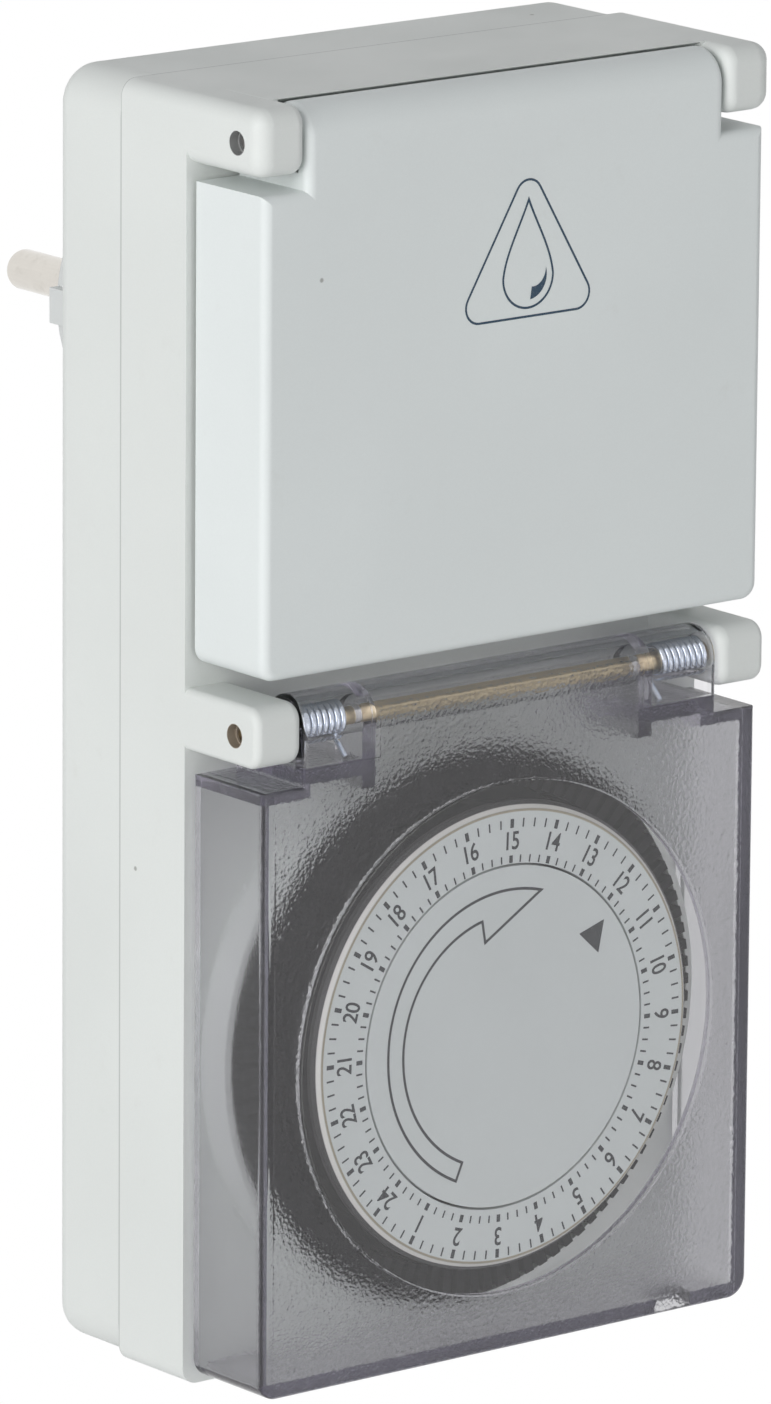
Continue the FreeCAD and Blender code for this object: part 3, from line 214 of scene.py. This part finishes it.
def dark_plastic(name, colour, rough):
    """Satin dark plastic with a light haze of dust and rubbed spots."""
    s = Shader(name)
    dust = s.spread(s.noise(300, 6.0, 0.7), 0.45, 0.75, 0.0, 0.10)
    base = s.mix(dust, colour, (0.16, 0.155, 0.16))
    streak = s.spread(s.noise(45, 3.0), 0.35, 0.7)
    base = s.mix(s.math("MULTIPLY", streak, 0.3), base, tuple(c * 1.8 for c in colour))
    roughness = s.spread(s.noise(120, 4.0), 0.3, 0.7, rough - 0.08, rough + 0.1)
    grain = s.noise(4200, 2.0)
    return s.finish(
        {
            "Base Color": base,
            "Roughness": roughness,
            "Specular IOR Level": 0.05,
            "Normal": s.bump(grain, 0.02 * MM, 0.5),
        }
    )


def metal(name, colour, rough, drawn=None, grain=0.4, stain=(0.35, 0.30, 0.22), stained=0.25, ends=None):
    """Plated or plain metal with fine drawing marks, uneven polish and faint stains."""
    s = Shader(name)
    place = s.place
    if drawn is not None:
        place = s.node("ShaderNodeMapping", {"Vector": s.place, "Scale": drawn}).outputs[0]
    marks = s.noise(2600, 3.0, 0.6, place)
    patch = s.spread(s.noise(420, 5.0, 0.65), 0.5, 0.8, 0.0, stained)
    base = s.mix(patch, colour, stain)
    base = s.mix(s.math("MULTIPLY", marks, 0.22), base, tuple(c * 0.6 for c in colour))
    roughness = s.spread(s.noise(500, 4.0), 0.3, 0.7, rough - 0.06, rough + 0.12)
    if ends is not None:
        aside = s.math("ABSOLUTE", s.axes()[0])
        cut = s.spread(aside, FRONT[1].x - 2.2 * MM, FRONT[1].x - 1.9 * MM)
        cut = s.math("MULTIPLY", cut, s.spread(s.noise(900, 3.0), 0.3, 0.6, 0.55, 1.0))
        base = s.mix(cut, base, ends)
    return s.finish(
        {
            "Base Color": base,
            "Metallic": 1.0,
            "Roughness": roughness,
            "Normal": s.bump(marks, 0.02 * MM, grain),
        }
    )


def rubber(name):
    """Soft black rubber with a dusty bloom."""
    s = Shader(name)
    bloom = s.spread(s.noise(260, 5.0, 0.7), 0.4, 0.75, 0.0, 0.35)
    base = s.mix(bloom, (0.030, 0.030, 0.032), (0.12, 0.12, 0.12))
    grain = s.noise(3000, 3.0)
    rough = s.spread(s.noise(90, 3.0), 0.3, 0.7, 0.68, 0.85)
    return s.finish({"Base Color": base, "Roughness": rough, "Normal": s.bump(grain, 0.03 * MM, 0.5)})


def clear_cover(name):
    """Faintly violet clear plastic: a polished window and pockets, with a pebbled field between them."""
    s = Shader(name)
    x, z = s.axes()[0], s.axes()[2]
    window = s.spread(s.from_dial_axis(), WINDOW_RADIUS, WINDOW_RADIUS + 0.25 * MM, 1.0, 0.0)
    aside = s.math("ABSOLUTE", x)
    over_floor = s.spread(z, POCKET_FLOOR, POCKET_FLOOR + 0.2 * MM)
    pocket = s.math("MULTIPLY", over_floor, s.spread(aside, POCKET_INSIDE, POCKET_INSIDE + 0.2 * MM))
    barrel = s.spread(z, BARREL_EDGE, BARREL_EDGE + 0.5 * MM)
    smooth = s.math("MAXIMUM", window, s.math("MAXIMUM", pocket, barrel))
    field = s.math("SUBTRACT", 1.0, smooth)
    pebbled = s.math("MULTIPLY", field, s.spread(aside, SIDE_WALL, SIDE_WALL + 0.3 * MM, 1.0, 0.12))
    pebbles = {"Vector": s.place, "Scale": 2500.0, "Randomness": 1.0}
    grain = s.node("ShaderNodeTexVoronoi", pebbles, feature="SMOOTH_F1").outputs["Distance"]
    swell = s.noise(1900, 3.0, 0.55)
    height = s.math("MULTIPLY", s.math("ADD", s.math("MULTIPLY", grain, 0.7), swell), pebbled)
    scratch = s.noise(260, 5.0, 0.8)
    # the pebbled field is tinted darker than the window of the same plastic: painted shade on top of the
    # plastic's own grey tint
    tint = s.mix(field, (0.85, 0.855, 0.85), (0.65, 0.655, 0.655))
    gloss = s.spread(scratch, 0.45, 0.8, 0.015, 0.09)
    roughness = s.math("ADD", s.math("MULTIPLY", field, 0.13), gloss)
    shader = s.node(
        "ShaderNodeBsdfPrincipled",
        {
            "Base Color": tint,
            "Roughness": roughness,
            "IOR": 1.49,
            "Specular IOR Level": 0.07,
            "Transmission Weight": 1.0,
            "Normal": s.bump(height, 0.12 * MM, 0.9),
        },
    )
    # the pebbled field also lets less light through to the parts beneath than the window: painted shadow
    # under the field
    let_through_and_field_shadow = s.mix(field, (0.82, 0.82, 0.82), (0.64, 0.64, 0.64))
    passed = s.node("ShaderNodeBsdfTransparent", {"Color": let_through_and_field_shadow})
    depth = s.node("ShaderNodeVolumeAbsorption", {"Color": (0.60, 0.56, 0.70, 1), "Density": 110.0})
    s.tree.links.new(depth.outputs[0], s.output.inputs["Volume"])
    return s.finish_mixed(s.node("ShaderNodeLightPath").outputs["Is Shadow Ray"], shader, passed)


def printed(name, colour):
    """Printing ink with slightly uneven coverage."""
    s = Shader(name)
    thin = s.spread(s.noise(3800, 4.0, 0.7), 0.5, 0.8, 0.0, 0.30)
    base = s.mix(thin, colour, (0.42, 0.44, 0.43))
    rough = s.spread(s.noise(900, 2.0), 0.3, 0.7, 0.45, 0.62)
    return s.finish({"Base Color": base, "Roughness": rough, "Normal": s.bump(thin, 0.01 * MM, 0.3)})


def dial_white(name, rim):
    """White dial plastic; the moulded rim round the printed face is creamier, with a tan line inside it."""
    s = Shader(name)
    face = (0.66, 0.70, 0.69)
    base = s.mix(s.spread(s.noise(60, 3.0), 0.3, 0.7), tuple(c * 0.97 for c in face), face)
    base = s.mix(s.spread(s.noise(2600, 3.0, 0.6), 0.35, 0.75, 0.0, 0.12), base, (0.50, 0.52, 0.52))
    if rim:
        reach = s.from_dial_axis()
        outer = s.spread(reach, FACE_EDGE, FACE_EDGE + 0.13 * MM)
        base = s.mix(outer, base, (0.74, 0.73, 0.69))
        line = near(s, reach, FACE_EDGE - 0.10 * MM, 0.08 * MM, 0.12 * MM)
        base = s.mix(s.math("MULTIPLY", line, 0.85), base, (0.30, 0.25, 0.15))
        base = s.mix(s.spread(reach, RIM_EDGE, RIM_EDGE + 0.12 * MM), base, (0.03, 0.028, 0.03))
    grain = s.noise(4600, 2.0)
    rough = s.spread(s.noise(140, 4.0), 0.3, 0.7, 0.42, 0.55)
    return s.finish({"Base Color": base, "Roughness": rough, "Normal": s.bump(grain, 0.02 * MM, 0.4)})


SHELL = moulded("shell_plastic", (0.80, 0.825, 0.80), seam=True)
# the lid is the shell's plastic with a lighter colour: painted light that brightens the whole lid
LID_PLASTIC_PAINTED_LIGHTER = moulded("lid_plastic_painted_lighter", (0.83, 0.87, 0.86), grain=0.4)
INSERT = moulded("insert_plastic", (0.72, 0.74, 0.73), rough=0.42)
GEAR = moulded("gear_plastic", (0.80, 0.78, 0.70), rough=0.38, specks=0.2)
BLACK = dark_plastic("drum_plastic", (0.010, 0.009, 0.011), 0.52)
TAPPET = dark_plastic("tappet_plastic", (0.010, 0.009, 0.011), 0.58)
SWITCH = dark_plastic("switch_plastic", (0.06, 0.06, 0.065), 0.5)
FACE = dial_white("dial_face", rim=False)
RIM = dial_white("dial_rim", rim=True)
CLEAR = clear_cover("cover_plastic")
SEAL = rubber("seal_rubber")
ZINC = metal("zinc_plate", (0.70, 0.74, 0.80), 0.22)
SPRING = metal("spring_zinc", (0.74, 0.80, 0.90), 0.16, stained=0.12)
ROD = {"rough": 0.34, "drawn": (0.15, 1, 1), "grain": 0.9}
LID_ROD = metal("lid_rod", (0.62, 0.60, 0.56), ends=(0.20, 0.20, 0.21), **ROD)
COVER_ROD = metal("cover_rod", (0.80, 0.66, 0.42), ends=(0.15, 0.11, 0.07), **ROD)
CONTACT = metal("contact_brass", (0.83, 0.64, 0.34), 0.28)
NICKEL = metal("pin_nickel", (0.74, 0.71, 0.66), 0.14, drawn=(1, 0.12, 1), stain=(0.30, 0.27, 0.22))
STEEL = metal("can_steel", (0.62, 0.62, 0.60), 0.30, drawn=(1, 0.2, 1))
INK = printed("dial_ink", (0.02, 0.022, 0.028))
NAVY = printed("lid_ink", (0.012, 0.045, 0.085))

BY_SLOT = {
    "housing_plastic": SHELL,
    "insert_plastic": INSERT,
    "clear_plastic": CLEAR,
    "dial_black": BLACK,
    "dial_white": FACE,
    "tappet_plastic": TAPPET,
    "gear_plastic": GEAR,
    "seal_rubber": SEAL,
    "zinc_steel": ZINC,
    "spring_steel": SPRING,
    "pin_nickel": NICKEL,
    "contact_brass": CONTACT,
    "motor_steel": STEEL,
    "switch_plastic": SWITCH,
}
BY_NODE = {"lid": LID_PLASTIC_PAINTED_LIGHTER, "dial_ring": RIM, "lid_hinge_pin": LID_ROD, "cover_hinge_pin": COVER_ROD}
CREASE = math.radians(28)


def dress(node, material):
    """Gives a CAD node its material and smooth shading with crisp creases."""
    thing = frame["nodes"][node]
    thing.data.materials.clear()
    thing.data.materials.append(material)
    thing.data.shade_smooth()
    thing.data.set_sharp_from_angle(angle=CREASE)


for row in frame["record"]["subparts"]:
    dress(row["node"], BY_NODE.get(row["node"], BY_SLOT[row["material_slot"]]))


# ---------------------------------------------------------------- springs
SPRING_WIRE = 0.75 * MM
SPRING_TURNS = 8
SPRING_SLANT = math.radians(45)
STEPS_A_TURN = 28


def wire(name, points, node, body):
    """A round wire along the points, in place of the CAD spring."""
    line = bpy.data.curves.new(name, "CURVE")
    line.dimensions = "3D"
    line.bevel_depth = SPRING_WIRE / 2
    line.bevel_resolution = 3
    line.use_fill_caps = True
    spline = line.splines.new("POLY")
    spline.points.add(len(points) - 1)
    for spot, point in zip(spline.points, points):
        spot.co = (*point, 1)
    line.materials.append(SPRING)
    piece = bpy.data.objects.new(name, line)
    bpy.context.collection.objects.link(piece)
    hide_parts(node)
    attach(piece, body)


def torsion_spring(node, pin, body):
    """The CAD spring's coil on the housing, and its pocket leg on the part that swings.

    The leg that runs back to the housing is left out: the open lid and cover would pass through it.
    """
    low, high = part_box(node)
    side = math.copysign(1, low.x)
    inner, outer = sorted((low.x, high.x), key=abs)
    radius = high.z - pin.z - SPRING_WIRE / 2
    first = inner + side * SPRING_WIRE / 2
    rise = outer - side * SPRING_WIRE / 2 - first

    def on_coil(turn, x):
        return Vector((x, pin.y + radius * math.cos(turn), pin.z + radius * math.sin(turn)))

    sweep = 2 * math.pi * SPRING_TURNS - SPRING_SLANT
    steps = STEPS_A_TURN * SPRING_TURNS
    shares = [i / steps for i in range(steps + 1)]
    coil = [on_coil(sweep * share - SPRING_SLANT, first + rise * share) for share in shares]
    wire(f"{node}_coil", coil, node, "housing")
    reach = (coil[0].z - low.z - SPRING_WIRE / 2 * math.cos(SPRING_SLANT)) / math.sin(SPRING_SLANT)
    leg = Vector((0, -math.sin(SPRING_SLANT), -math.cos(SPRING_SLANT))) * reach
    wire(f"{node}_leg", [coil[0], coil[0] + leg], node, body)


for hinge, pin, body in (("lid", LID_PIN, "lid"), ("cover", COVER_PIN, "dial_cover")):
    for word in ("left", "right"):
        torsion_spring(f"{hinge}_spring_{word}", pin, body)


# ---------------------------------------------------------------- printing
def polar(radius, clockwise):
    """A point on the dial, from its axis, with the angle clockwise from the top."""
    turn = math.radians(clockwise)
    return Vector((radius * math.sin(turn), radius * math.cos(turn)))


def flat_piece(name, shapes, y, material, slot, body):
    """One mesh of flat polygons, each a list of (x, z) points, facing the front at depth y."""
    mesh = bpy.data.meshes.new(name)
    work = bmesh.new()
    for points in shapes:
        work.faces.new([work.verts.new((p[0], y, p[1])) for p in points])
    bmesh.ops.triangulate(work, faces=work.faces[:])
    bmesh.ops.recalc_face_normals(work, faces=work.faces[:])
    for face in work.faces:
        if face.normal.y > 0:
            face.normal_flip()
    work.to_mesh(mesh)
    work.free()
    mesh.materials.append(material)
    thing = bpy.data.objects.new(name, mesh)
    bpy.context.scene.collection.objects.link(thing)
    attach(thing, body)


def band(points, width, closed=False):
    """A line of even width along points, as quads with mitred corners."""
    count = len(points)
    sides = []
    for i, here in enumerate(points):
        before = points[i - 1] if closed or i > 0 else None
        after = points[(i + 1) % count] if closed or i < count - 1 else None
        first = (here - before).normalized() if before is not None else None
        second = (after - here).normalized() if after is not None else None
        if first is None:
            first = second
        if second is None:
            second = first
        across = Vector((-first.y - second.y, first.x + second.x)).normalized()
        stretch = max(0.35, across.dot(Vector((-first.y, first.x))))
        reach = across * (width / 2 / stretch)
        sides.append((here + reach, here - reach))
    last = count if closed else count - 1
    quads = []
    for i in range(last):
        a, b = sides[i], sides[(i + 1) % count]
        quads.append([a[0], b[0], b[1], a[1]])
    return quads


def tick(radius, length, width, clockwise, centre):
    """A radial stroke on the dial."""
    ends = [centre + polar(radius + side * length / 2, clockwise) for side in (-1, 1)]
    return band(ends, width)


def number_shapes(text, size):
    """The triangles of a number, centred on the origin, from the built-in typeface."""
    curve = bpy.data.curves.new("number", "FONT")
    curve.body = text
    curve.size = size
    curve.align_x = "CENTER"
    curve.align_y = "CENTER"
    curve.space_character = 0.95
    curve.offset = 0.014 * size
    thing = bpy.data.objects.new("number", curve)
    bpy.context.scene.collection.objects.link(thing)
    depsgraph = bpy.context.evaluated_depsgraph_get()
    mesh = bpy.data.meshes.new_from_object(thing.evaluated_get(depsgraph))
    shapes = [[mesh.vertices[i].co.xy.copy() for i in face.vertices] for face in mesh.polygons]
    bpy.data.objects.remove(thing)
    bpy.data.curves.remove(curve)
    bpy.data.meshes.remove(mesh)
    return shapes


CENTRE = Vector((AXIS.x, AXIS.z))
LABEL = CENTRE + Vector((0.0, -0.30)) * MM
HOURS = 24
QUARTERS = HOURS * 4
TOP_HOUR = 15
TOP_HOUR_TURN = 1.8
OUTER_TICKS = 25.45 * MM
INNER_TICKS = 21.25 * MM
NUMBERS = 23.3 * MM
NUMBER_HEIGHT = 3.0 * MM
NUMBER_WIDTH = 0.84
ARROW_LINE = 0.34 * MM
SIGN_LINE = 0.27 * MM
SIGN_MIDDLE = 1.4


def dial_print():
    """Two rings of quarter-hour strokes and the hours 1 to 24, on the turning ring."""
    strokes = []
    for i in range(QUARTERS):
        clockwise = TOP_HOUR_TURN + i * 360 / QUARTERS
        bold = i % 4 == 0
        width = (0.52 if bold else 0.22) * MM
        strokes += tick(OUTER_TICKS, 1.05 * MM, width, clockwise, LABEL)
        strokes += tick(INNER_TICKS, 0.88 * MM, width, clockwise, LABEL)
    flat_piece("dial_ticks", strokes, RING[0].y - PRINT_LIFT, INK, "dial_white", "dial")
    figures = []
    for hour in range(1, HOURS + 1):
        clockwise = TOP_HOUR_TURN + (TOP_HOUR - hour) * 360 / HOURS
        middle = LABEL + polar(NUMBERS, clockwise)
        turn = Matrix.Rotation(-math.radians(clockwise), 2)
        for shape in number_shapes(str(hour), NUMBER_HEIGHT):
            figures.append([middle + turn @ Vector((p.x * NUMBER_WIDTH, p.y)) for p in shape])
    flat_piece("dial_numbers", figures, RING[0].y - PRINT_LIFT, INK, "dial_white", "dial")


def spiral(first, last, count):
    """Points from one (radius in mm, degrees clockwise) to another, round the dial's axis."""
    points = []
    for i in range(count):
        share = i / (count - 1)
        radius, clockwise = (a + (b - a) * share for a, b in zip(first, last))
        points.append(CENTRE + polar(radius * MM, clockwise))
    return points


def disc_print():
    """The turning arrow and the pointer triangle on the fixed disc."""
    y = DISC[0].y - PRINT_LIFT
    ink = (INK, "dial_white", "housing")
    outer = spiral((17.5, 203.6), (17.05, 268.0), 26) + spiral((17.04, 270.5), (17.43, 377.3), 44)
    barb = spiral((12.0, 345.5), (14.6, 346.3), 2)
    inner = spiral((14.62, 344.5), (14.87, 268.0), 30) + spiral((14.88, 266.0), (15.25, 203.6), 24)
    flat_piece("disc_arrow", band(outer + barb + inner, ARROW_LINE, closed=True), y, *ink)
    corners = [CENTRE + Vector(place) * MM for place in ((14.6, 11.7), (13.8, 7.8), (10.9, 10.5))]
    flat_piece("disc_pointer", [corners], y, *ink)


def rounded(corners, radius, steps=10):
    """A closed outline with each corner rounded."""
    points = []
    count = len(corners)
    for i, corner in enumerate(corners):
        to_last = (corners[i - 1] - corner).normalized()
        to_next = (corners[(i + 1) % count] - corner).normalized()
        half = to_last.angle(to_next) / 2
        run = radius / math.tan(half)
        middle = corner + (to_last + to_next).normalized() * (radius / math.sin(half))
        start = corner + to_last * run - middle
        stop = corner + to_next * run - middle
        sweep = start.angle_signed(stop)
        for k in range(steps + 1):
            points.append(middle + Matrix.Rotation(-sweep * k / steps, 2) @ start)
    return points


def drop_outline(centre, radius, height, steps=28):
    """A water drop: a half circle below, and above it sides that draw in to a point."""
    sides = []
    for i in range(steps + 1):
        rise = i / steps
        wide = radius * (1 - rise) * (1 + 0.72 * rise * (1 - rise))
        sides.append(Vector((wide, height * rise)))
    right = [centre + p for p in sides]
    left = [centre + Vector((-p.x, p.y)) for p in reversed(sides[1:-1])]
    belly = [centre + polar(radius, 270 - 180 * i / steps) for i in range(steps)]
    return right + left + belly


def lid_print():
    """The splash-proof sign: a drop in a rounded triangle."""
    y = LID[0].y - PRINT_LIFT
    triangle = ((0, 23.9), (-10.4, 6.3), (10.4, 6.3))
    corners = [Vector((SIGN_MIDDLE + x, z)) * MM for x, z in triangle]
    shapes = band(rounded(corners, 1.9 * MM), SIGN_LINE, closed=True)
    belly = Vector((SIGN_MIDDLE, 10.92)) * MM
    shapes += band(drop_outline(belly, 3.62 * MM, 8.87 * MM), SIGN_LINE, closed=True)
    count = 14
    outer = [belly + polar(2.72 * MM, 72 + 101 * i / count) for i in range(count + 1)]
    inner = [belly + polar((1.35 + 1.35 * i / count) * MM, 156 - 82 * i / count) for i in range(count)]
    shapes.append(outer + inner)
    flat_piece("lid_sign", shapes, y, NAVY, "housing_plastic", "lid")


dial_print()
disc_print()
lid_print()


# ---------------------------------------------------------------- light, floor and camera
CAMERA_TURN, CAMERA_RISE, CAMERA_ROLL = (math.radians(a) for a in (38.458, 13.526, 0.428))
CAMERA_PLACE = Vector((-786.25, -1029.19, 261.21)) * MM
CAMERA_LENS = 288.36
FLOOR_HALF = 3.0
FLOOR_DROP = 0.35


def area(name, place, aim, size, power):
    """A soft lamp."""
    lamp = bpy.data.lights.new(name, "AREA")
    lamp.shape = "DISK"
    lamp.size = size
    lamp.energy = power
    thing = bpy.data.objects.new(name, lamp)
    bpy.context.scene.collection.objects.link(thing)
    thing.location = place
    thing.rotation_euler = (Vector(aim) - Vector(place)).to_track_quat("-Z", "Y").to_euler()


def white_backdrop():
    """A world that lights plainly and looks white to the camera, to gloss and through glass."""
    world = bpy.data.worlds.new("studio")
    bpy.context.scene.world = world
    world.use_nodes = True
    tree = world.node_tree
    tree.nodes.clear()
    output = tree.nodes.new("ShaderNodeOutputWorld")
    plain = tree.nodes.new("ShaderNodeBackground")
    plain.inputs["Color"].default_value = (0.95, 0.97, 1.0, 1)
    plain.inputs["Strength"].default_value = 0.29
    white = tree.nodes.new("ShaderNodeBackground")
    white.inputs["Color"].default_value = (1, 1, 1, 1)
    white.inputs["Strength"].default_value = 1.0
    path = tree.nodes.new("ShaderNodeLightPath")
    seen = tree.nodes.new("ShaderNodeMath")
    seen.operation = "MAXIMUM"
    clear = tree.nodes.new("ShaderNodeMath")
    clear.operation = "MAXIMUM"
    tree.links.new(path.outputs["Is Glossy Ray"], clear.inputs[0])
    tree.links.new(path.outputs["Is Transmission Ray"], clear.inputs[1])
    tree.links.new(path.outputs["Is Camera Ray"], seen.inputs[0])
    tree.links.new(clear.outputs[0], seen.inputs[1])
    both = tree.nodes.new("ShaderNodeMixShader")
    tree.links.new(seen.outputs[0], both.inputs[0])
    tree.links.new(plain.outputs[0], both.inputs[1])
    tree.links.new(white.outputs[0], both.inputs[2])
    tree.links.new(both.outputs[0], output.inputs["Surface"])


def floor():
    """A pale floor well below the part, which hangs from its wall socket."""
    s = Shader("floor_paint")
    grain = s.noise(90, 3.0)
    base = s.mix(s.spread(s.noise(4, 2.0), 0.3, 0.7), (0.86, 0.86, 0.86), (0.90, 0.90, 0.90))
    lit = s.node(
        "ShaderNodeBsdfPrincipled",
        {"Base Color": base, "Roughness": 0.8, "Normal": s.bump(grain, 0.2 * MM, 0.3)},
    )
    white = s.node("ShaderNodeEmission", {"Color": (1, 1, 1, 1), "Strength": 1.0})
    path = s.node("ShaderNodeLightPath").outputs
    clear = s.math("MAXIMUM", path["Is Glossy Ray"], path["Is Transmission Ray"])
    seen = s.math("MAXIMUM", path["Is Camera Ray"], clear)
    mesh = bpy.data.meshes.new("floor")
    low = FRONT[0].z - FLOOR_DROP
    corners = [(FLOOR_HALF * x, FLOOR_HALF * y, low) for x, y in ((-1, -1), (1, -1), (1, 1), (-1, 1))]
    mesh.from_pydata(corners, [], [(0, 1, 2, 3)])
    mesh.materials.append(s.finish_mixed(seen, lit, white))
    thing = bpy.data.objects.new("floor", mesh)
    bpy.context.scene.collection.objects.link(thing)


def camera():
    """The camera: 38.5 degrees to the left of the front and 13.5 degrees above it."""
    turn, level = CAMERA_TURN, math.cos(CAMERA_RISE)
    back = Vector((-math.sin(turn) * level, -math.cos(turn) * level, math.sin(CAMERA_RISE)))
    right = Vector((math.cos(turn), -math.sin(turn), 0))
    up = back.cross(right)
    across = right * math.cos(CAMERA_ROLL) + up * math.sin(CAMERA_ROLL)
    upward = up * math.cos(CAMERA_ROLL) - right * math.sin(CAMERA_ROLL)
    lens = bpy.data.cameras.new("camera")
    lens.sensor_width = 36
    lens.lens = CAMERA_LENS
    lens.clip_start = 0.05
    lens.clip_end = 20
    thing = bpy.data.objects.new("camera", lens)
    bpy.context.scene.collection.objects.link(thing)
    matrix = Matrix((across, upward, back)).transposed().to_4x4()
    matrix.translation = CAMERA_PLACE
    thing.matrix_world = matrix
    bpy.context.scene.camera = thing


white_backdrop()
floor()
area("key", (-1.35, -0.5, 0.33), (0, -0.04, -0.04), 1.1, 13.4)
area("front", (0.15, -1.35, -0.25), (0, -0.04, -0.04), 1.2, 3.4)
area("top", (0.3, 0.1, 1.4), (0, -0.04, 0), 1.0, 0.5)
camera()
bpy.context.scene.view_settings.view_transform = "Standard"
